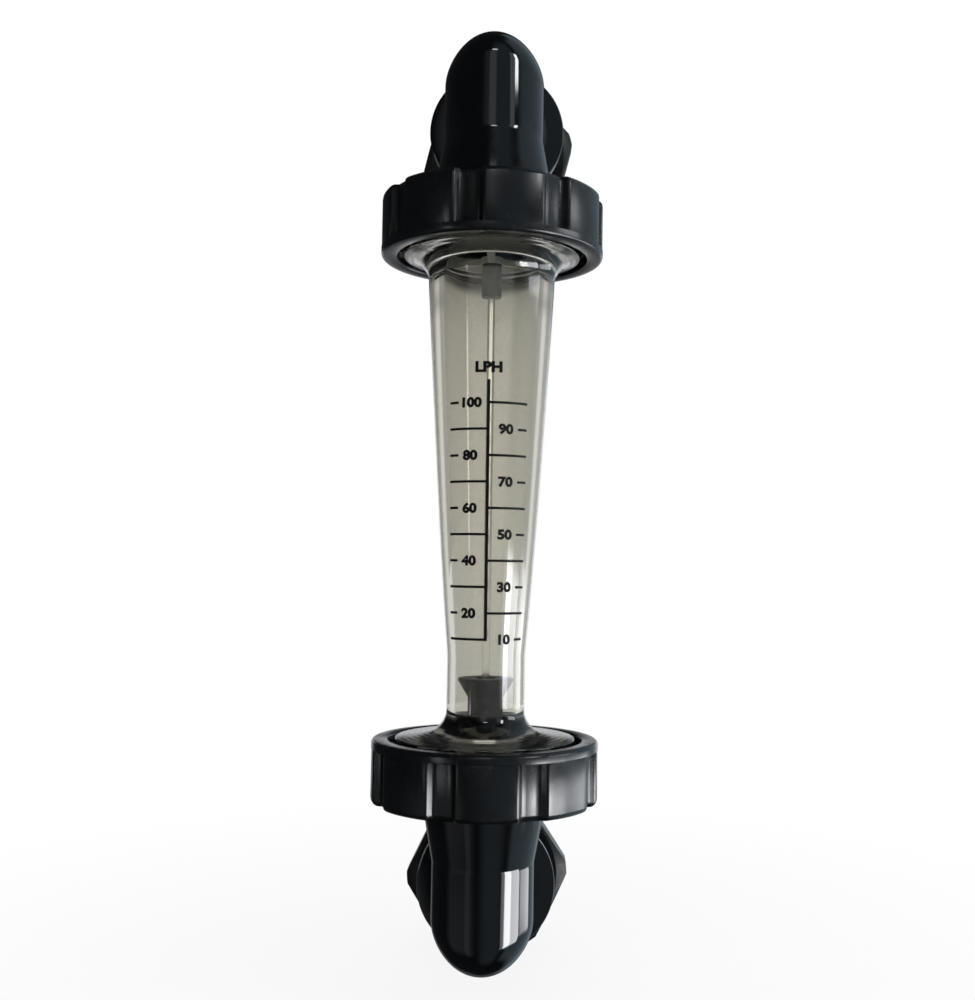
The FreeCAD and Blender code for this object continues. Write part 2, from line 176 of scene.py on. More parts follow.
def finished(name, mesh, body, materials, stands_for=()):
    """Makes an object of a bmesh in metres, with its seams closed and faces outwards, riding on a body."""
    bmesh.ops.remove_doubles(mesh, verts=mesh.verts, dist=MERGE_DISTANCE)
    bmesh.ops.recalc_face_normals(mesh, faces=mesh.faces)
    for face in mesh.faces:
        face.smooth = True
    for edge in mesh.edges:
        edge.smooth = edge.calc_face_angle(math.pi) < SHARP_ANGLE
    data = bpy.data.meshes.new(name)
    mesh.to_mesh(data)
    mesh.free()
    piece = bpy.data.objects.new(name, data)
    bpy.context.scene.collection.objects.link(piece)
    for material in materials:
        data.materials.append(material)
    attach(piece, body)
    if stands_for:
        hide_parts(*stands_for)
    return piece


def turned(corners, steps, rounding_segments=4):
    """Spins a profile of (radius, height, rounding) corners in mm round Z.

    A profile that starts and ends on the axis stays open there; any other is closed.
    """
    mesh = bmesh.new()
    points = [mesh.verts.new((radius * MM, 0, height * MM)) for radius, height, rounding in corners]
    on_axis = corners[0][0] == 0 and corners[-1][0] == 0
    for start, end in zip(points, points[1:] if on_axis else points[1:] + points[:1]):
        mesh.edges.new((start, end))
    for point, (radius, height, rounding) in zip(points, corners):
        if rounding:
            back, ahead = (edge.other_vert(point).co - point.co for edge in point.link_edges)
            reach = rounding / math.tan(back.angle(ahead) / 2)
            bmesh.ops.bevel(mesh, geom=[point], offset=reach * MM, segments=rounding_segments,
                            profile=0.5, affect="VERTICES", material=-1)
    bmesh.ops.spin(mesh, geom=mesh.verts[:] + mesh.edges[:], cent=(0, 0, 0), axis=(0, 0, 1),
                   angle=2 * math.pi, steps=steps, use_merge=True)
    bmesh.ops.remove_doubles(mesh, verts=mesh.verts, dist=MERGE_DISTANCE)
    return mesh


def ring_chain(count, stations, place):
    """Skins a chain of rings: each station's vertices stand where place(station, angle) says, in mm."""
    mesh = bmesh.new()
    ring = bmesh.ops.create_circle(mesh, segments=count, radius=MM)["verts"]
    angles = [2 * math.pi * index / count for index in range(count)]
    order = {vert: angle for vert, angle in zip(ring, angles)}
    edges = mesh.edges[:]
    for index, station in enumerate(stations):
        if index:
            grown = bmesh.ops.extrude_edge_only(mesh, edges=edges)["geom"]
            new_edges = [item for item in grown if isinstance(item, bmesh.types.BMEdge)]
            new_verts = [item for item in grown if isinstance(item, bmesh.types.BMVert)]
            carried = {}
            for vert in new_verts:
                rung = next(edge for edge in vert.link_edges if edge.other_vert(vert) in order)
                carried[vert] = order[rung.other_vert(vert)]
            order = carried
            edges = [edge for edge in new_edges if all(vert in order for vert in edge.verts)]
        for vert, angle in order.items():
            vert.co = Vector(place(station, angle)) * MM
    return mesh


# Materials

ACRYLIC_IOR = 1.49


def add_node(tree, kind, sockets=(), stops=(), **properties):
    """Adds a node, sets its properties and a ramp's (position, colour) stops, and sets or links the
    sockets that are named."""
    node = tree.nodes.new(kind)
    for name, value in properties.items():
        setattr(node, name, value)
    for index, (position, tone) in enumerate(stops):
        stop = node.color_ramp.elements[index]
        stop.position, stop.color = position, tone
    for name, value in dict(sockets).items():
        if isinstance(value, bpy.types.NodeSocket):
            tree.links.new(value, node.inputs[name])
        else:
            node.inputs[name].default_value = value
    return node


def new_material(name, settings):
    """Material whose Principled shader has these settings; returns it with its tree and shader."""
    material = bpy.data.materials.new(name)
    material.use_nodes = True
    shader = material.node_tree.nodes["Principled BSDF"]
    for socket, value in settings.items():
        shader.inputs[socket].default_value = value
    return material, material.node_tree, shader


def object_place(tree):
    """Object coordinates, on which every pattern is laid out."""
    return add_node(tree, "ShaderNodeTexCoord").outputs["Object"]


def per_mm(size):
    """Noise scale whose features are about this many millimetres across."""
    return 1 / (size * MM)


def toned(tone, factor):
    """A colour made darker or paler, and opaque."""
    return (*(min(1.0, factor * channel) for channel in tone[:3]), 1.0)


def moulded_plastic(name, tone, ior, roughness, spread, grain, bump, specular=0.5):
    """Injection-moulded plastic: an even colour with faint flow marks, whose gloss varies with the tool's
    polish and whose surface carries the tool's fine grain."""
    flow_size, polish_size, grain_depth = 9.0, 4.0, 0.02 * MM
    material, tree, shader = new_material(name, {"IOR": ior, "Specular IOR Level": specular})
    place = object_place(tree)
    flow = add_node(tree, "ShaderNodeTexNoise", {
        "Vector": place, "Scale": per_mm(flow_size), "Detail": 3.0})
    shade = add_node(tree, "ShaderNodeValToRGB", {"Fac": flow.outputs["Fac"]},
                     stops=((0.35, toned(tone, 0.82)), (0.65, toned(tone, 1.2))))
    tree.links.new(shade.outputs["Color"], shader.inputs["Base Color"])
    polish = add_node(tree, "ShaderNodeTexNoise", {
        "Vector": place, "Scale": per_mm(polish_size), "Detail": 5.0})
    gloss = add_node(tree, "ShaderNodeMapRange", {
        "Value": polish.outputs["Fac"], "From Min": 0.3, "From Max": 0.7,
        "To Min": roughness - spread, "To Max": roughness + spread})
    tree.links.new(gloss.outputs["Result"], shader.inputs["Roughness"])
    texture = add_node(tree, "ShaderNodeTexNoise", {"Vector": place, "Scale": per_mm(grain), "Detail": 2.0})
    relief = add_node(tree, "ShaderNodeBump", {
        "Height": texture.outputs["Fac"], "Strength": bump, "Distance": grain_depth})
    tree.links.new(relief.outputs["Normal"], shader.inputs["Normal"])
    return material


def glossy_abs(colours):
    """Glossy ABS from a polished tool: deep blue-black with crisp window reflections."""
    return moulded_plastic("glossy_abs", colours.elbow, ior=1.54, roughness=0.06, spread=0.02,
                           grain=1.2, bump=0.08)


def satin_abs(colours):
    """Satin ABS: the nut's tool was left a little rough, so its highlights are broad."""
    return moulded_plastic("satin_abs", colours.nut, ior=1.54, roughness=0.24, spread=0.05,
                           grain=0.35, bump=0.25, specular=0.42)


def satin_nylon(colours):
    """Glass-filled nylon: slightly greenish black with a dull, faintly grainy skin."""
    return moulded_plastic("satin_nylon", colours.lock_nut, ior=1.53, roughness=0.38, spread=0.06,
                           grain=0.3, bump=0.35, specular=0.2)


def clear_acrylic(colours):
    """Clear moulded acrylic: smooth glass-like walls with a grey tint, so the tube isn't lost on white."""
    return new_material("clear_acrylic", {
        "Base Color": colours.acrylic, "Transmission Weight": 1.0, "IOR": ACRYLIC_IOR,
        "Roughness": 0.02})[0]


def satin_acrylic(colours):
    """Turned faces of the discs: the tool's fine rings spread the light a little, and a darker tint paints
    the shade of the union nut round them.
    """
    # Painted shade: the disc faces take the acrylic's tint darkened by this factor, for the dark nut seen
    # through and around them.
    ring_scale, ring_depth, painted_disc_shade = 3.6, 0.03 * MM, 0.62
    material, tree, shader = new_material("satin_acrylic", {
        "Base Color": toned(colours.acrylic, painted_disc_shade), "Transmission Weight": 1.0, "IOR": ACRYLIC_IOR,
        "Roughness": 0.18})
    centred = add_node(tree, "ShaderNodeMapping", {
        "Vector": object_place(tree), "Location": (0, -TUBE_AXIS * MM, 0)})
    rings = add_node(tree, "ShaderNodeTexWave", {
        "Vector": centred.outputs["Vector"], "Scale": per_mm(ring_scale)},
        wave_type="RINGS", rings_direction="Z")
    relief = add_node(tree, "ShaderNodeBump", {
        "Height": rings.outputs["Fac"], "Strength": 1.0, "Distance": ring_depth})
    tree.links.new(relief.outputs["Normal"], shader.inputs["Normal"])
    return material


def blasted_acrylic(colours):
    """Acrylic from a blasted tool half: a fine sand texture that scatters light and sparkles."""
    sand_size, sand_depth, sparkle = 0.45, 0.05 * MM, 1.25
    material, tree, shader = new_material("blasted_acrylic", {
        "Transmission Weight": 0.85, "IOR": ACRYLIC_IOR, "Roughness": 0.42})
    sand = add_node(tree, "ShaderNodeTexNoise", {
        "Vector": object_place(tree), "Scale": per_mm(sand_size), "Detail": 2.0})
    relief = add_node(tree, "ShaderNodeBump", {
        "Height": sand.outputs["Fac"], "Strength": 0.6, "Distance": sand_depth})
    tree.links.new(relief.outputs["Normal"], shader.inputs["Normal"])
    shade = add_node(tree, "ShaderNodeValToRGB", {"Fac": sand.outputs["Fac"]},
                     stops=((0.38, colours.blasted), (0.68, toned(colours.blasted, sparkle))))
    tree.links.new(shade.outputs["Color"], shader.inputs["Base Color"])
    return material


def plain_finish(name, tone, roughness, metallic=0.0, grain=0.4, bump=0.2, specular=0.5):
    """One even material whose gloss and relief vary finely, for the small inner pieces."""
    grain_depth = 0.01 * MM
    material, tree, shader = new_material(name, {
        "Base Color": tone, "Metallic": metallic, "Specular IOR Level": specular})
    texture = add_node(tree, "ShaderNodeTexNoise", {
        "Vector": object_place(tree), "Scale": per_mm(grain), "Detail": 3.0})
    gloss = add_node(tree, "ShaderNodeMapRange", {
        "Value": texture.outputs["Fac"], "To Min": 0.8 * roughness, "To Max": 1.2 * roughness})
    tree.links.new(gloss.outputs["Result"], shader.inputs["Roughness"])
    relief = add_node(tree, "ShaderNodeBump", {
        "Height": texture.outputs["Fac"], "Strength": bump, "Distance": grain_depth})
    tree.links.new(relief.outputs["Normal"], shader.inputs["Normal"])
    return material


# Elbows

HEEL_BLEND = 4  # how tightly the heel's rounding gives way to the sides


def elbow_place(station, angle):
    """Place of a ring's point on an elbow whose leg stands on +Z and whose arm lies on +Y.

    Round the corner each point turns about its own centre. The inner side keeps a sharp corner. On the
    outer side the bend is the heel's rounding in the middle, and shrinks to the point's reach at the sides.
    """
    kind, first, second = station
    across, side = math.sin(angle), math.cos(angle)
    if kind == "leg":
        height, radius = first, second
        return radius * across, -radius * side, height
    if kind == "arm":
        reach, radius = first, second
        return radius * across, reach, -radius * side
    turn, (radius, rounding) = first, second
    reach = radius * side
    if side <= 0:
        return radius * across, -reach, -reach
    limit = (rounding**-HEEL_BLEND - radius**-HEEL_BLEND) ** (-1 / HEEL_BLEND)
    bend = (limit**-HEEL_BLEND + reach**-HEEL_BLEND) ** (-1 / HEEL_BLEND)
    centre, turned_by = bend - reach, turn * math.pi / 2
    return (radius * across, centre - bend * math.cos(turned_by), centre - bend * math.sin(turned_by))


def elbow_stations(sizes):
    """Stations round the elbow's wall, from the bore at the joint face, outside and back inside."""
    pipe, bore, port = (value / MM for value in (sizes.pipe_radius, sizes.pipe_bore, sizes.port_bore))
    rounding = sizes.heel_rounding / MM
    flare_start, flare = sizes.flare_start / MM, sizes.flare_radius / MM
    collar, collar_start = sizes.collar_radius / MM, PANEL - sizes.collar_thickness / MM
    tip_start = ARM_END - sizes.tip_length / MM
    root, tip = sizes.thread_root / MM, sizes.tip_radius / MM
    head, joint = FLANGE_RADIUS, TUBE_BOTTOM
    head_foot = joint - sizes.head_thickness / MM
    groove_inner, groove_outer, groove_depth = 12.1, 14.9, 2.42
    groove_floor = joint - groove_depth
    edge, eased, fillet, chamfer, tip_slope = 0.4, 0.12, 0.3, 0.8, 0.2
    flare_bulge, flare_rings, corner_rings, crease = 0.03, 6, 12, 0.18
    slope = (flare - pipe) / (NUT_FOOT - flare_start)
    corner_gap = 0.01  # between the corner's rings and the straight ones

    leg = [(joint, bore), (joint, groove_inner), (groove_floor, groove_inner),
           (groove_floor, groove_outer), (joint, groove_outer), (joint, head - edge),
           (joint - edge, head), (head_foot + edge, head), (head_foot, head - edge), (head_foot, flare)]
    for index in range(flare_rings + 1):
        share = index / flare_rings
        bulge = 4 * flare_bulge * share * (1 - share)
        leg.append((NUT_FOOT + share * (flare_start + 3 * crease - NUT_FOOT),
                    flare + share * (pipe + 3 * crease * slope - flare) + bulge))
    leg += [(flare_start + crease, pipe + crease * slope), (flare_start - crease, pipe),
            (flare_start - 3 * crease, pipe), (pipe + corner_gap, pipe)]
    outer_arm = [(pipe + corner_gap, pipe), (collar_start - fillet, pipe), (collar_start, pipe + fillet),
                 (collar_start, collar - edge), (collar_start + eased, collar - eased),
                 (collar_start + edge, collar), (PANEL - edge, collar), (PANEL - eased, collar - eased),
                 (PANEL, collar - edge), (PANEL, root), (tip_start, root),
                 (tip_start + tip_slope, tip), (ARM_END - chamfer, tip), (ARM_END, tip - chamfer)]
    inner_arm = [(ARM_END, port + edge), (ARM_END - edge, port), (PANEL, port), (PANEL, bore),
                 (bore + corner_gap, bore)]
    inner_leg = [(bore + corner_gap, bore), (joint, bore)]
    corner = [index / corner_rings for index in range(corner_rings + 1)]
    inner_rounding = rounding - (pipe - bore)
    return ([("leg", *pair) for pair in leg]
            + [("corner", turn, (pipe, rounding)) for turn in corner]
            + [("arm", *pair) for pair in outer_arm + inner_arm]
            + [("corner", turn, (bore, inner_rounding)) for turn in reversed(corner)]
            + [("leg", *pair) for pair in inner_leg])


def thread(sizes, start, end):
    """Helical ridge of a pipe thread along Z, cut off square at both ends and sunk into the root."""
    pitch, crest, root = sizes.thread_pitch / MM, sizes.thread_radius / MM, sizes.thread_root / MM
    sunk = root - 0.3
    half, foot, flat = 0.5 * pitch, 0.45 * pitch, 0.11 * pitch
    ease, shoulder = 0.05, crest - 0.08
    steps_per_turn = 72
    turns = math.ceil((end - start) / pitch) + 2
    mesh = bmesh.new()
    outline = [(sunk, -half), (root, -foot), (shoulder, -flat - ease), (crest, -flat + ease),
               (crest, flat - ease), (shoulder, flat + ease), (root, foot), (sunk, half)]
    points = [mesh.verts.new((radius * MM, 0, (start - pitch + height) * MM)) for radius, height in outline]
    for first, second in zip(points, points[1:] + points[:1]):
        mesh.edges.new((first, second))
    steps = turns * steps_per_turn
    bmesh.ops.spin(mesh, geom=mesh.verts[:] + mesh.edges[:], cent=(0, 0, 0), axis=(0, 0, 1),
                   dvec=(0, 0, pitch * MM / steps_per_turn), angle=2 * math.pi * turns, steps=steps,
                   use_merge=False)
    for height, above in ((start, False), (end, True)):
        bmesh.ops.bisect_plane(mesh, geom=mesh.verts[:] + mesh.edges[:] + mesh.faces[:],
                               plane_co=(0, 0, height * MM), plane_no=(0, 0, 1),
                               clear_outer=above, clear_inner=not above)
        open_edges = [edge for edge in mesh.edges if edge.is_boundary]
        bmesh.ops.holes_fill(mesh, edges=open_edges, sides=0)
    return mesh


def build_elbow(name, placed, colours, sizes, replaced):
    segments, overlap = 128, 0.2
    body = ring_chain(segments, elbow_stations(sizes), elbow_place)
    ridge = thread(sizes, PANEL - overlap, ARM_END - sizes.tip_length / MM)
    bmesh.ops.rotate(ridge, verts=ridge.verts, cent=(0, 0, 0), matrix=Matrix.Rotation(-math.pi / 2, 3, "X"))
    whole = joined([body, ridge])
    bmesh.ops.transform(whole, verts=whole.verts, matrix=placed)
    return finished(name, whole, "root", [glossy_abs(colours)], (replaced,))


# Union nuts

LOBE_INSET = 0.07  # lobes stand this far inside the rim
FOOT_REACH = 0.4  # the nuts' open faces stand this far beyond the frame's
UPPER_NUT_SEAT = 0.5  # the upper nut stands this much nearer to the tube
LOWER_NUT_TURN, UPPER_NUT_TURN = 3.0, -12.0  # degrees from the front to a lobe's middle


def lobe_outline(sizes, radius):
    """Half the pattern of one lobe, from its middle over a rounded edge to the grip groove's floor:
    (degrees from its middle, radius in mm)."""
    floor = radius - sizes.groove_depth / MM
    return [(0, radius), (3.5, radius), (7, radius), (10.5, radius), (13.9, radius), (14.7, radius - 0.04),
            (15.2, radius - 0.15), (15.55, radius - 0.36), (16.9, floor + 0.28), (17.35, floor + 0.08),
            (17.9, floor), (20.2, floor)]


def nut_ring(sizes, lobed_radius, turn):
    """Angles and lobed radii once round the nut."""
    lobes, pitch = 8, 45.0
    half = lobe_outline(sizes, lobed_radius)
    pattern = [(-angle, radius) for angle, radius in reversed(half[1:])] + half
    pattern.append((pitch / 2, half[-1][1]))
    return [(math.radians(turn + index * pitch + angle), radius)
            for index in range(lobes) for angle, radius in pattern]


def build_union_nut(name, placed, turn, colours, sizes, replaced):
    outline = nut_ring(sizes, NUT_RADIUS - LOBE_INSET, turn)
    rim_foot = NUT_TOP - sizes.rim_height / MM
    lip_foot = NUT_TOP - sizes.lip_thickness / MM
    clearance, edge, eased = 0.05, 0.3, 0.1
    blend_start, blend_end, blend_depth, rim_inset = 0.2, 0.06, 0.04, 0.12
    bore, lip = FLANGE_RADIUS + clearance, sizes.lip_radius / MM
    shoulder, rim_edge, foot = 1.2, 0.7, NUT_FOOT - FOOT_REACH
    bows = [math.radians(angle) for angle in (0, 22.5, 45, 67.5, 90)]
    stations = [("round", foot + edge, bore), ("round", foot, bore + edge)]
    stations += [("lobed", foot + shoulder * (1 - math.sin(bow)), shoulder * (1 - math.cos(bow)))
                 for bow in reversed(bows)]
    stations += [("lobed", rim_foot - blend_start, 0.0), ("lobed", rim_foot - blend_end, blend_depth),
                 ("round", rim_foot, NUT_RADIUS - rim_inset), ("round", rim_foot + eased, NUT_RADIUS)]
    stations += [("round", NUT_TOP - rim_edge * (1 - math.sin(bow)),
                  NUT_RADIUS - rim_edge * (1 - math.cos(bow))) for bow in bows]
    stations += [("round", NUT_TOP, lip + edge), ("round", NUT_TOP - eased, lip + eased),
                 ("round", NUT_TOP - edge, lip), ("round", lip_foot, lip), ("round", lip_foot, bore),
                 ("round", foot + edge, bore)]

    def place(station, angle):
        kind, height, size = station
        index = round(angle / (2 * math.pi) * len(outline)) % len(outline)
        turn, lobed = outline[index]
        radius = lobed - size if kind == "lobed" else size
        return radius * math.sin(turn), -radius * math.cos(turn), height

    mesh = ring_chain(len(outline), stations, place)
    bmesh.ops.transform(mesh, verts=mesh.verts, matrix=placed)
    return finished(name, mesh, replaced, [satin_abs(colours)], (replaced,))


# Lock nuts

def build_lock_nut(name, colours, replaced):
    """The frame's own hexagon with its corners and edges eased as a moulding's are."""
    flat_angle, edge_angle, easing, merged = math.radians(0.5), math.radians(20), 0.3, 1e-6
    mesh = bmesh.new()
    mesh.from_mesh(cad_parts[replaced].data)
    bmesh.ops.remove_doubles(mesh, verts=mesh.verts, dist=merged)
    bmesh.ops.dissolve_limit(mesh, angle_limit=flat_angle, verts=mesh.verts, edges=mesh.edges)
    sharp = [edge for edge in mesh.edges if edge.calc_face_angle(0) > edge_angle]
    bmesh.ops.bevel(mesh, geom=sharp, offset=easing * MM, segments=3, profile=0.5, affect="EDGES",
                    material=-1, clamp_overlap=True)
    return finished(name, mesh, replaced, [satin_nylon(colours)], (replaced,))


# Metering tube and its print

def tapered(low, high, share):
    """Radius at a share of the taper's height. Its area grows evenly, which spaces the marks evenly too."""
    return math.sqrt(low**2 + share * (high**2 - low**2))


def taper_line(sizes, low, high):
    """Corners of the taper between two radii."""
    start, rise, stretches = TUBE_BOTTOM + sizes.throat_length / MM, sizes.taper_length / MM, 24
    shares = [index / stretches for index in range(stretches + 1)]
    return [(tapered(low, high, share), start + share * rise, 0) for share in shares]


def tube_radius(sizes, height):
    """Outer radius of the tube's taper at a height, in mm."""
    share = (height - TUBE_BOTTOM - sizes.throat_length / MM) / (sizes.taper_length / MM)
    return tapered(sizes.throat_radius / MM, sizes.taper_radius / MM, share)


def build_tube(colours, sizes):
    flange, bottom, top = FLANGE_RADIUS, TUBE_BOTTOM, TUBE_TOP
    flange_thickness, rise, crown, neck_fillet, disc_gap, clear_neck = 3.4, 2.5, 1.4, 4.6, 1.4, 4.9
    disc = sizes.lip_radius / MM - disc_gap
    throat, wide, neck = sizes.throat_radius / MM, sizes.taper_radius / MM, sizes.neck_radius / MM
    bore_low, bore_high = sizes.bore_bottom / MM, sizes.bore_top / MM
    lower_seat, lower_seat_depth, upper_seat, upper_seat_depth = 9.0, 3.0, 11.0, 6.3
    edge, disc_edge, inner_edge, neck_draft = 0.3, 0.35, 0.2, 0.15
    lower, upper = bottom + flange_thickness + rise, top - flange_thickness - rise
    blast_start, blast_end = lower + crown + clear_neck, upper - crown - clear_neck
    corners = [
        (flange, bottom, edge), (flange, lower - rise, edge), (disc, lower - rise, 0),
        (disc, lower, disc_edge), (throat, lower + crown, neck_fillet), (throat, blast_start, 0),
        *taper_line(sizes, throat, wide),
        (neck - neck_draft, blast_end, 0), (neck, upper - crown, neck_fillet), (disc, upper, disc_edge),
        (disc, upper + rise, 0), (flange, upper + rise, edge), (flange, top, edge),
        (upper_seat, top, inner_edge), (upper_seat, top - upper_seat_depth, inner_edge),
        (bore_high, top - upper_seat_depth, inner_edge), *taper_line(sizes, bore_low, bore_high)[::-1],
        (bore_low, bottom + lower_seat_depth, inner_edge),
        (lower_seat, bottom + lower_seat_depth, inner_edge), (lower_seat, bottom, inner_edge)]
    mesh = turned(corners, 192, 6)
    bmesh.ops.recalc_face_normals(mesh, faces=mesh.faces)
    finish_tube_faces(mesh, (lower, upper), (disc, throat, neck), blast_start)
    add_parting_seams(mesh, throat, blast_start, blast_end)
    bmesh.ops.transform(mesh, verts=mesh.verts, matrix=AT_INLET)
    finishes = [clear_acrylic(colours), blasted_acrylic(colours), satin_acrylic(colours)]
    return finished("acrylic_tube", mesh, "root", finishes, ("metering_tube",))


def finish_tube_faces(mesh, disc_faces, radii, blast_start):
    """Clear by default, blasted on the rear half's outside, and turned on the inner faces of the discs."""
    clear, blasted, turned_face = 0, 1, 2
    (lower, upper), (disc, throat, neck), tolerance = disc_faces, radii, 0.1
    for face in mesh.faces:
        centre = face.calc_center_median() / MM
        radius = math.hypot(centre.x, centre.y)
        on_lower = lower - tolerance < centre.z < lower + 3.5 and radius > throat + 1.0
        on_upper = upper - 3.0 < centre.z < upper + tolerance and radius > neck + 1.2
        facing_out = face.normal.x * centre.x + face.normal.y * centre.y > 0
        if radius < disc and (on_lower or on_upper):
            face.material_index = turned_face
        elif facing_out and centre.y > 0 and blast_start < centre.z < upper:
            face.material_index = blasted
        else:
            face.material_index = clear


def add_parting_seams(mesh, throat, start, end):
    """Thin flash where the mould's front and rear halves met, on both sides of the taper."""
    flash, inside = 0.05, throat - 0.1
    seam = [vert for vert in mesh.verts
            if abs(vert.co.y) < MERGE_DISTANCE and math.hypot(vert.co.x, vert.co.y) > inside * MM
            and start <= vert.co.z / MM <= end]
    for vert in seam:
        vert.co.x += math.copysign(flash * MM, vert.co.x)


def wrap_on_tube(mesh, sizes):
    """Bends a flat print, x along the girth and z up, in mm, round the front of the taper."""
    lift = 0.04
    for vert in mesh.verts:
        across, height = vert.co.x, vert.co.z
        wall = tube_radius(sizes, height)
        radius = wall + lift + vert.co.y
        angle = across / wall
        vert.co = Vector((radius * math.sin(angle), -radius * math.cos(angle), height)) * MM


def printed_bar(left, right, bottom, top):
    """Flat bar of ink, cut finely enough to be bent."""
    mesh = bmesh.new()
    width, height, column, row = right - left, top - bottom, 0.4, 2.0
    columns, rows = max(2, round(width / column)), max(1, round(height / row))
    bmesh.ops.create_grid(mesh, x_segments=columns, y_segments=rows, size=0.5)
    for vert in mesh.verts:
        vert.co = Vector((left + (vert.co.x + 0.5) * width, 0, bottom + (vert.co.y + 0.5) * height))
    return mesh


def printed_word(word, centre, height, digit_height):
    """Flat lettering centred at a place on the print, a little bolder and wider than Blender's font."""
    size_for_height, boldness, widening = 1.36, 0.075, 1.15
    curve = bpy.data.curves.new("lettering", "FONT")
    curve.body = word
    curve.size = size_for_height * digit_height
    curve.offset = boldness * digit_height
    curve.align_x = "CENTER"
    curve.resolution_u = 3
    holder = bpy.data.objects.new("lettering", curve)
    bpy.context.scene.collection.objects.link(holder)
    data = bpy.data.meshes.new_from_object(holder)
    mesh = bmesh.new()
    mesh.from_mesh(data)
    bpy.data.objects.remove(holder)
    bpy.data.curves.remove(curve)
    bpy.data.meshes.remove(data)
    bmesh.ops.triangulate(mesh, faces=mesh.faces)
    low = min(vert.co.y for vert in mesh.verts)
    high = max(vert.co.y for vert in mesh.verts)
    for vert in mesh.verts:
        vert.co = Vector((centre + widening * vert.co.x, 0, height + vert.co.y - (low + high) / 2))
    return mesh


def build_print(colours, sizes):
    """Centre line, marks, ticks and numbers, wrapped on the front of the tube."""
    width, digits = sizes.line_width / MM, sizes.digit_height / MM
    marks, reach, tick, rise, centre_half, aside = 10, 8.1, 2.1, 4.4, 0.31, 3.5
    drop, below_lowest, unit_rise, unit_size = 0.4, 0.25, 2.4, 1.08
    low, high = (end - drop for end in span("scale_marks", 2))
    lowest = low + below_lowest
    pitch = (high - rise - lowest) / (marks - 1)
    bars = [printed_bar(-centre_half, centre_half, low, high)]
    words = []
    for index in range(marks):
        height = lowest + index * pitch
        side = 1 if index % 2 else -1
        bottom, top = height - width / 2, height + width / 2
        bars.append(printed_bar(*sorted((0, side * reach)), bottom, top))
        bars.append(printed_bar(*sorted((-side * reach, -side * (reach - tick))), bottom, top))
        words.append(printed_word(str(10 * (index + 1)), -side * aside, height, digits))
    words.append(printed_word("LPH", 0, high + unit_rise, unit_size * digits))
    mesh = joined(bars + words)
    wrap_on_tube(mesh, sizes)
    bmesh.ops.transform(mesh, verts=mesh.verts, matrix=AT_INLET)
    ink = plain_finish("screen_printed_ink", colours.ink, 0.6, specular=0.15)
    return finished("printed_scale", mesh, "root", [ink], ("scale_marks",))


# Float, rod, stops and guides

def build_float(colours):
    """Straight body that flares to a thin reading edge, with a shallow recess on top."""
    low, high = span("float", 2)
    head = span("float", 0)[1]
    bore, body, body_height, recess, recess_depth = 1.05, 3.5, 6.4, 2.2, 0.5
    corners = [(bore, low, 0.15), (body, low, 0.3), (body, low + body_height, 0.6),
               (head - 0.1, high - 0.6, 0.08), (head, high - 0.5, 0.05), (head - 0.05, high, 0.04),
               (recess, high, 0.1), (recess - 0.2, high - recess_depth, 0.1),
               (bore, high - recess_depth, 0.1)]
    mesh = turned(corners, 96)
    bmesh.ops.transform(mesh, verts=mesh.verts, matrix=AT_INLET)
    acetal = plain_finish("black_acetal", colours.float_black, 0.45, specular=0.2)
    return finished("indicating_float", mesh, "float", [acetal], ("float",))


def build_rod(colours):
    low, high = span("guide_rod", 2)
    radius, edge = span("guide_rod", 0)[1], 0.12
    mesh = turned([(0, low, 0), (radius, low, edge), (radius, high, edge), (0, high, 0)], 48)
    bmesh.ops.transform(mesh, verts=mesh.verts, matrix=AT_INLET)
    steel = plain_finish("drawn_stainless_steel", colours.steel, 0.22, metallic=1.0, grain=0.2)
    return finished("bright_rod", mesh, "root", [steel], ("guide_rod",))


def build_stop(name, colours, replaced):
    low, high = span(replaced, 2)
    outer, bore, edge = span(replaced, 0)[1], 0.82, 0.12
    mesh = turned([(bore, low, 0), (outer, low, edge), (outer, high, edge), (bore, high, 0)], 64)
    bmesh.ops.transform(mesh, verts=mesh.verts, matrix=AT_INLET)
    tube = plain_finish("cut_pvc_tube", colours.stop_grey, 0.42)
    return finished(name, mesh, "root", [tube], (replaced,))


# Studio

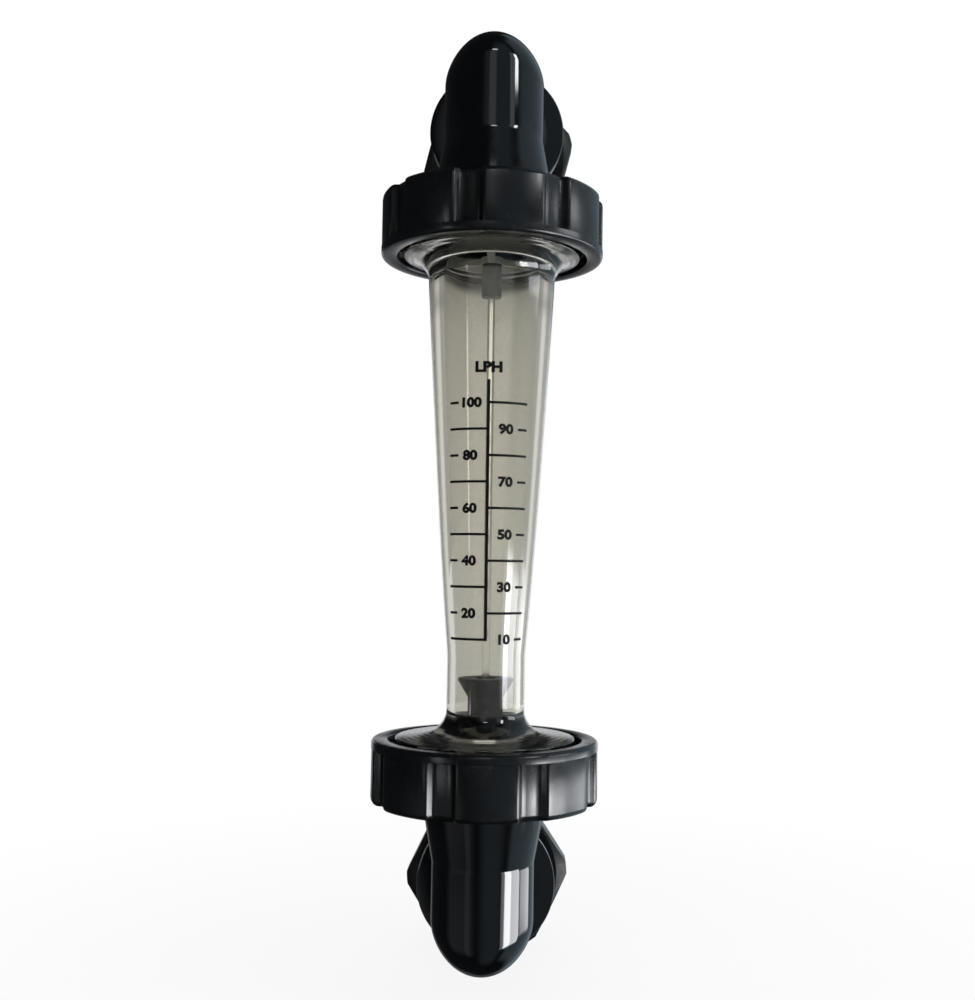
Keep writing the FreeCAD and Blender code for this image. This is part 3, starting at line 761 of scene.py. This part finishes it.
def build_stage(colours):
    """Pale floor that fades to plain white, and the surroundings."""
    floor_gap, floor_radius, shade_start, shade_end, near_share = 0.0005, 3.0, 0.05, 0.20, 0.88
    floor_height = min(CAD_BOX[0][2], 0) - floor_gap
    mesh = bmesh.new()
    bmesh.ops.create_circle(mesh, cap_ends=True, segments=96, radius=floor_radius,
                            matrix=Matrix.Translation((0, TUBE_AXIS * MM, floor_height)))
    data = bpy.data.meshes.new("studio_floor")
    mesh.to_mesh(data)
    mesh.free()
    floor = bpy.data.objects.new("studio_floor", data)
    bpy.context.scene.collection.objects.link(floor)
    floor.visible_glossy = False

    material, tree, shader = new_material("pale_paper_floor", {
        "Base Color": colours.floor, "Roughness": 0.9})
    glow = add_node(tree, "ShaderNodeEmission", {"Color": (1, 1, 1, 1), "Strength": 1.0})
    path = add_node(tree, "ShaderNodeLightPath").outputs
    distance = add_node(tree, "ShaderNodeVectorMath", {0: object_place(tree)}, operation="LENGTH")
    fade = add_node(tree, "ShaderNodeMapRange", {
        "Value": distance.outputs["Value"], "From Min": shade_start, "From Max": shade_end,
        "To Min": near_share, "To Max": 1.0}, interpolation_type="SMOOTHSTEP")
    seen = add_node(tree, "ShaderNodeMath", {
        0: path["Is Camera Ray"], 1: path["Is Transmission Ray"]}, operation="MAXIMUM")
    share = add_node(tree, "ShaderNodeMath", {0: fade.outputs["Result"], 1: seen.outputs["Value"]},
                     operation="MULTIPLY")
    blend = add_node(tree, "ShaderNodeMixShader", {0: share.outputs["Value"]})
    tree.links.new(shader.outputs["BSDF"], blend.inputs[1])
    tree.links.new(glow.outputs["Emission"], blend.inputs[2])
    tree.links.new(blend.outputs["Shader"], tree.nodes["Material Output"].inputs["Surface"])
    data.materials.append(material)

    build_surroundings()


# What gloss mirrors in a dark room. Each row is its light, from and to in degrees of azimuth (0 in front,
# 90 on the right) and of elevation, the softness of its edge in degrees, and its radiance.
DAYLIGHT, SHADE = "#f4f6fa", "#c8e0ee"
PANES = (
    (DAYLIGHT, 50, 58, 24, 35, 1.0, 21.0),      # upper light of the window
    (DAYLIGHT, 38, 49, 16, 35, 2.0, 0.9),       # its reveal
    (DAYLIGHT, 52, 68, -25, -7, 1.5, 21.0),     # lower light
    (DAYLIGHT, 68, 91, -25, -7, 1.0, 10.5),     # its curtain
    (DAYLIGHT, 44, 52, -25, -7, 1.5, 2.5),      # reveal of the lower light
    (DAYLIGHT, 94, 126, -19, -6, 3.0, 5.0),     # light beside the frame
    (DAYLIGHT, 72, 98, 8, 19.3, 0.7, 5.0),      # sill
    (DAYLIGHT, -11, 5, 10, 33, 2.0, 0.4),       # doorway in front
    (DAYLIGHT, -22, 2, 10, 33, 7.0, 0.2),       # its wall
    (DAYLIGHT, -80, -20, -34, -12, 9.0, 0.2),   # table on the left
    (DAYLIGHT, -6, 8, 35, 37.5, 0.8, 14.0),     # lamp above it
    (DAYLIGHT, -45.5, -42.5, -7, 6, 1.2, 8.0),  # bright edge on the left
    (DAYLIGHT, 152, 208, -10, 10, 4.0, 1.0),    # backdrop
    (DAYLIGHT, 150, 210, -60, -10, 6.0, 0.17),  # table behind
    (SHADE, 62, 160, -50, 70, 8.0, 0.55),       # wall on the right
    (SHADE, -2, 45, -60, 60, 14.0, 0.28),       # wall right of the doorway
    (SHADE, -38, -27, -36, -4, 2.0, 0.2),       # shelf on the left
)
ROOM_RADIANCE = 0.03

# What shows through the clear tube, in the same columns without the light. It is alike on both sides.
BEYOND = (
    (-190, 190, -95, 15, 5.0, 0.3),    # pale room at eye level
    (135, 225, -95, 15, 5.0, 0.5),     # backdrop
    (-50, 50, -95, 15, 5.0, 0.3),      # backdrop seen from behind
    (-50, 50, 4, 60, 4.0, 1.4),        # bright ceiling in front
)
BEYOND_REST = 0.2
BEYOND_LIGHT = "#fffdf8"
FILL_LIGHT, FILL_STRENGTH = "#f2f4f8", 0.5


def lit_part(tree, azimuth, elevation, bounds):
    """One where a direction lies within a pane, fading to nothing at its edges."""
    left, right, bottom, top, softness = bounds
    shares = []
    for value, low, high in ((azimuth, left, right), (elevation, bottom, top)):
        offset = add_node(tree, "ShaderNodeMath", {0: value, 1: (low + high) / 2}, operation="SUBTRACT")
        away = add_node(tree, "ShaderNodeMath", {0: offset.outputs["Value"]}, operation="ABSOLUTE")
        half = (high - low) / 2
        share = add_node(tree, "ShaderNodeMapRange", {
            "Value": away.outputs["Value"], "From Min": half - softness, "From Max": half + softness,
            "To Min": 1.0, "To Max": 0.0}, interpolation_type="SMOOTHSTEP")
        shares.append(share.outputs["Result"])
    return add_node(tree, "ShaderNodeMath", {0: shares[0], 1: shares[1]},
                    operation="MULTIPLY").outputs["Value"]


def build_surroundings():
    """World: white to the camera, a dim room through the clear tube, a dark room with panes of light to
    gloss, and a plain fill to the rest. Gloss comes first, as a refracted ray counts as glossy too."""
    world = bpy.data.worlds.new("studio")
    world.use_nodes = True
    world.cycles.sampling_method = "NONE"
    bpy.context.scene.world = world
    tree = world.node_tree
    fill = tree.nodes["Background"]
    fill.inputs["Color"].default_value = hex_linear(FILL_LIGHT)
    fill.inputs["Strength"].default_value = FILL_STRENGTH
    way = add_node(tree, "ShaderNodeTexCoord").outputs["Generated"]
    parts = add_node(tree, "ShaderNodeSeparateXYZ", {"Vector": way}).outputs
    toward_front = add_node(tree, "ShaderNodeMath", {0: parts["Y"], 1: -1.0}, operation="MULTIPLY")
    turn = add_node(tree, "ShaderNodeMath", {0: parts["X"], 1: toward_front.outputs["Value"]},
                    operation="ARCTAN2")
    lift = add_node(tree, "ShaderNodeMath", {0: parts["Z"]}, operation="ARCSINE")
    azimuth, elevation = (add_node(tree, "ShaderNodeMath", {0: angle.outputs["Value"]},
                                   operation="DEGREES").outputs["Value"] for angle in (turn, lift))
    aside = add_node(tree, "ShaderNodeMath", {0: azimuth}, operation="ABSOLUTE").outputs["Value"]
    mirrored = []
    for tone in (DAYLIGHT, SHADE):
        radiance = ROOM_RADIANCE / 2
        for pane_tone, *bounds, strength in PANES:
            if pane_tone == tone:
                behind = bounds[1] > 180  # laid out alike on both sides of the back
                part = lit_part(tree, aside if behind else azimuth, elevation, bounds)
                radiance = add_node(tree, "ShaderNodeMath", {0: part, 1: strength, 2: radiance},
                                    operation="MULTIPLY_ADD").outputs["Value"]
        mirrored.append(add_node(tree, "ShaderNodeBackground", {
            "Color": hex_linear(tone), "Strength": radiance}))
    gloss = add_node(tree, "ShaderNodeAddShader", {0: mirrored[0].outputs[0], 1: mirrored[1].outputs[0]})
    through = BEYOND_REST
    for *bounds, strength in BEYOND:
        part = lit_part(tree, aside, elevation, bounds)
        through = add_node(tree, "ShaderNodeMath", {0: part, 1: strength, 2: through},
                           operation="MULTIPLY_ADD").outputs["Value"]
    refracted = add_node(tree, "ShaderNodeBackground", {
        "Color": hex_linear(BEYOND_LIGHT), "Strength": through})
    white = add_node(tree, "ShaderNodeBackground", {"Color": (1, 1, 1, 1), "Strength": 1.0})
    path = add_node(tree, "ShaderNodeLightPath").outputs
    shown = fill.outputs["Background"]
    for ray, seen in (("Is Glossy Ray", gloss.outputs["Shader"]),
                      ("Is Transmission Ray", refracted.outputs["Background"]),
                      ("Is Camera Ray", white.outputs["Background"])):
        blend = add_node(tree, "ShaderNodeMixShader", {0: path[ray], 1: shown, 2: seen})
        shown = blend.outputs["Shader"]
    tree.links.new(shown, tree.nodes["World Output"].inputs["Surface"])


def add_softbox(name, azimuth, elevation, distance, width, height, radiance, tint="#ffffff"):
    """Rectangular lamp that faces the tube's middle, in degrees and metres. It isn't seen in gloss."""
    centre = Vector((0, TUBE_AXIS * MM, OUTLET_AXIS * MM / 2))
    turn, lift = math.radians(azimuth), math.radians(elevation)
    back = Vector((math.sin(turn) * math.cos(lift), -math.cos(turn) * math.cos(lift), math.sin(lift)))
    lamp = bpy.data.lights.new(name, "AREA")
    lamp.shape = "RECTANGLE"
    lamp.size, lamp.size_y = width, height
    lamp.energy = radiance * math.pi * width * height
    lamp.color = hex_linear(tint)[:3]
    holder = bpy.data.objects.new(name, lamp)
    holder.location = centre + back * distance
    holder.rotation_euler = (-back).to_track_quat("-Z", "Y").to_euler()
    holder.visible_glossy = False
    holder.visible_transmission = False
    bpy.context.scene.collection.objects.link(holder)


def add_camera():
    """Camera a quarter of a metre in front of the tube, a little right of it and below its middle."""
    distance, aside, height = 0.2375, 0.006, 0.069
    pitch, lean = math.radians(3.31), math.radians(0.8)
    camera = bpy.data.cameras.new("camera")
    camera.sensor_width = 36.0
    camera.lens = 42.75
    camera.shift_x = -0.03
    camera.shift_y = -0.003
    camera.clip_start = 0.01
    holder = bpy.data.objects.new("camera", camera)
    holder.location = (aside, TUBE_AXIS * MM - distance, height)
    holder.rotation_euler = (math.pi / 2 + pitch, -lean, 0)
    bpy.context.scene.collection.objects.link(holder)
    bpy.context.scene.camera = holder


# Operators, one for each piece or group of like pieces

class Builder:
    """Gives an operator the scene's sizes and colours."""
    bl_options = {"REGISTER", "UNDO"}

    def execute(self, context):
        self.build(context.scene.rotameter_colours, context.scene.rotameter_sizes)
        return {"FINISHED"}


class ROTAMETER_OT_elbows(Builder, bpy.types.Operator):
    """Inlet and outlet elbows, each one moulding with its collar and threaded spigot"""
    bl_idname = "rotameter.elbows"
    bl_label = "Elbows"

    def build(self, colours, sizes):
        build_elbow("inlet_elbow_moulding", AT_INLET, colours, sizes, "inlet_elbow")
        build_elbow("outlet_elbow_moulding", AT_OUTLET, colours, sizes, "outlet_elbow")


class ROTAMETER_OT_union_nuts(Builder, bpy.types.Operator):
    """Lobed union nuts at both ends of the tube"""
    bl_idname = "rotameter.union_nuts"
    bl_label = "Union nuts"

    def build(self, colours, sizes):
        seat = Matrix.Translation((0, 0, UPPER_NUT_SEAT * MM))
        build_union_nut("lower_nut_moulding", AT_INLET, LOWER_NUT_TURN, colours, sizes, "lower_union_nut")
        build_union_nut("upper_nut_moulding", AT_OUTLET @ seat, UPPER_NUT_TURN, colours, sizes,
                        "upper_union_nut")


class ROTAMETER_OT_lock_nuts(Builder, bpy.types.Operator):
    """Hexagonal lock nuts on the spigots"""
    bl_idname = "rotameter.lock_nuts"
    bl_label = "Lock nuts"

    def build(self, colours, sizes):
        for end in ("inlet", "outlet"):
            build_lock_nut(f"{end}_hexagon_nut", colours, f"{end}_lock_nut")


class ROTAMETER_OT_tube(Builder, bpy.types.Operator):
    """Clear metering tube, blasted on its rear half"""
    bl_idname = "rotameter.tube"
    bl_label = "Metering tube"

    def build(self, colours, sizes):
        build_tube(colours, sizes)


class ROTAMETER_OT_scale(Builder, bpy.types.Operator):
    """Printed scale on the front of the tube"""
    bl_idname = "rotameter.scale"
    bl_label = "Printed scale"

    def build(self, colours, sizes):
        build_print(colours, sizes)


class ROTAMETER_OT_float(Builder, bpy.types.Operator):
    """Float, guide rod and the stops on it"""
    bl_idname = "rotameter.float_and_rod"
    bl_label = "Float and rod"

    def build(self, colours, sizes):
        build_float(colours)
        build_rod(colours)
        build_stop("upper_sleeve", colours, "upper_stop")
        build_stop("lower_sleeve", colours, "lower_stop")


class ROTAMETER_OT_inner_parts(Builder, bpy.types.Operator):
    """Finishes of the guides and O-rings"""
    bl_idname = "rotameter.inner_parts"
    bl_label = "Guides and O-rings"

    def build(self, colours, sizes):
        finishes = {
            "upper_guide": plain_finish("natural_polypropylene", colours.guide, 0.35),
            "upper_o_ring": plain_finish("nitrile_rubber", colours.rubber, 0.6),
        }
        finishes["lower_guide"] = finishes["upper_guide"]
        finishes["lower_o_ring"] = finishes["upper_o_ring"]
        for node, material in finishes.items():
            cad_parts[node].data.materials.clear()
            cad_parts[node].data.materials.append(material)


class ROTAMETER_OT_stage(Builder, bpy.types.Operator):
    """Pale floor, soft lamps and the camera"""
    bl_idname = "rotameter.stage"
    bl_label = "Studio"

    def build(self, colours, sizes):
        build_stage(colours)
        add_softbox("window", azimuth=72, elevation=20, distance=0.9, width=0.5, height=0.6,
                    radiance=3.0, tint="#eef3ff")
        add_softbox("front_fill", azimuth=-10, elevation=30, distance=1.2, width=0.8, height=0.6,
                    radiance=1.6)
        add_softbox("top_fill", azimuth=20, elevation=80, distance=1.2, width=0.8, height=0.8,
                    radiance=1.6)
        add_camera()
        bpy.context.scene.view_settings.view_transform = "Standard"


class ROTAMETER_PT_panel(bpy.types.Panel):
    """Lists the rotameter's operators with its sizes and colours"""
    bl_idname = "ROTAMETER_PT_panel"
    bl_label = "Rotameter"
    bl_space_type = "VIEW_3D"
    bl_region_type = "UI"
    bl_category = "Rotameter"

    def draw(self, context):
        for operator in OPERATORS:
            self.layout.operator(operator.bl_idname)
        for group in (context.scene.rotameter_sizes, context.scene.rotameter_colours):
            for name in group.__annotations__:
                self.layout.prop(group, name)


OPERATORS = (ROTAMETER_OT_stage, ROTAMETER_OT_tube, ROTAMETER_OT_scale, ROTAMETER_OT_float,
             ROTAMETER_OT_inner_parts, ROTAMETER_OT_elbows, ROTAMETER_OT_union_nuts, ROTAMETER_OT_lock_nuts)
CLASSES = (RotameterSizes, RotameterColours, *OPERATORS, ROTAMETER_PT_panel)


def register():
    for item in CLASSES:
        bpy.utils.register_class(item)
    bpy.types.Scene.rotameter_sizes = bpy.props.PointerProperty(type=RotameterSizes)
    bpy.types.Scene.rotameter_colours = bpy.props.PointerProperty(type=RotameterColours)


def unregister():
    del bpy.types.Scene.rotameter_colours
    del bpy.types.Scene.rotameter_sizes
    for item in reversed(CLASSES):
        bpy.utils.unregister_class(item)


def main():
    register()
    bpy.ops.rotameter.stage()
    bpy.ops.rotameter.tube()
    bpy.ops.rotameter.scale()
    bpy.ops.rotameter.float_and_rod()
    bpy.ops.rotameter.inner_parts()
    bpy.ops.rotameter.elbows()
    bpy.ops.rotameter.union_nuts()
    bpy.ops.rotameter.lock_nuts()


if __name__ == "__main__":
    main()
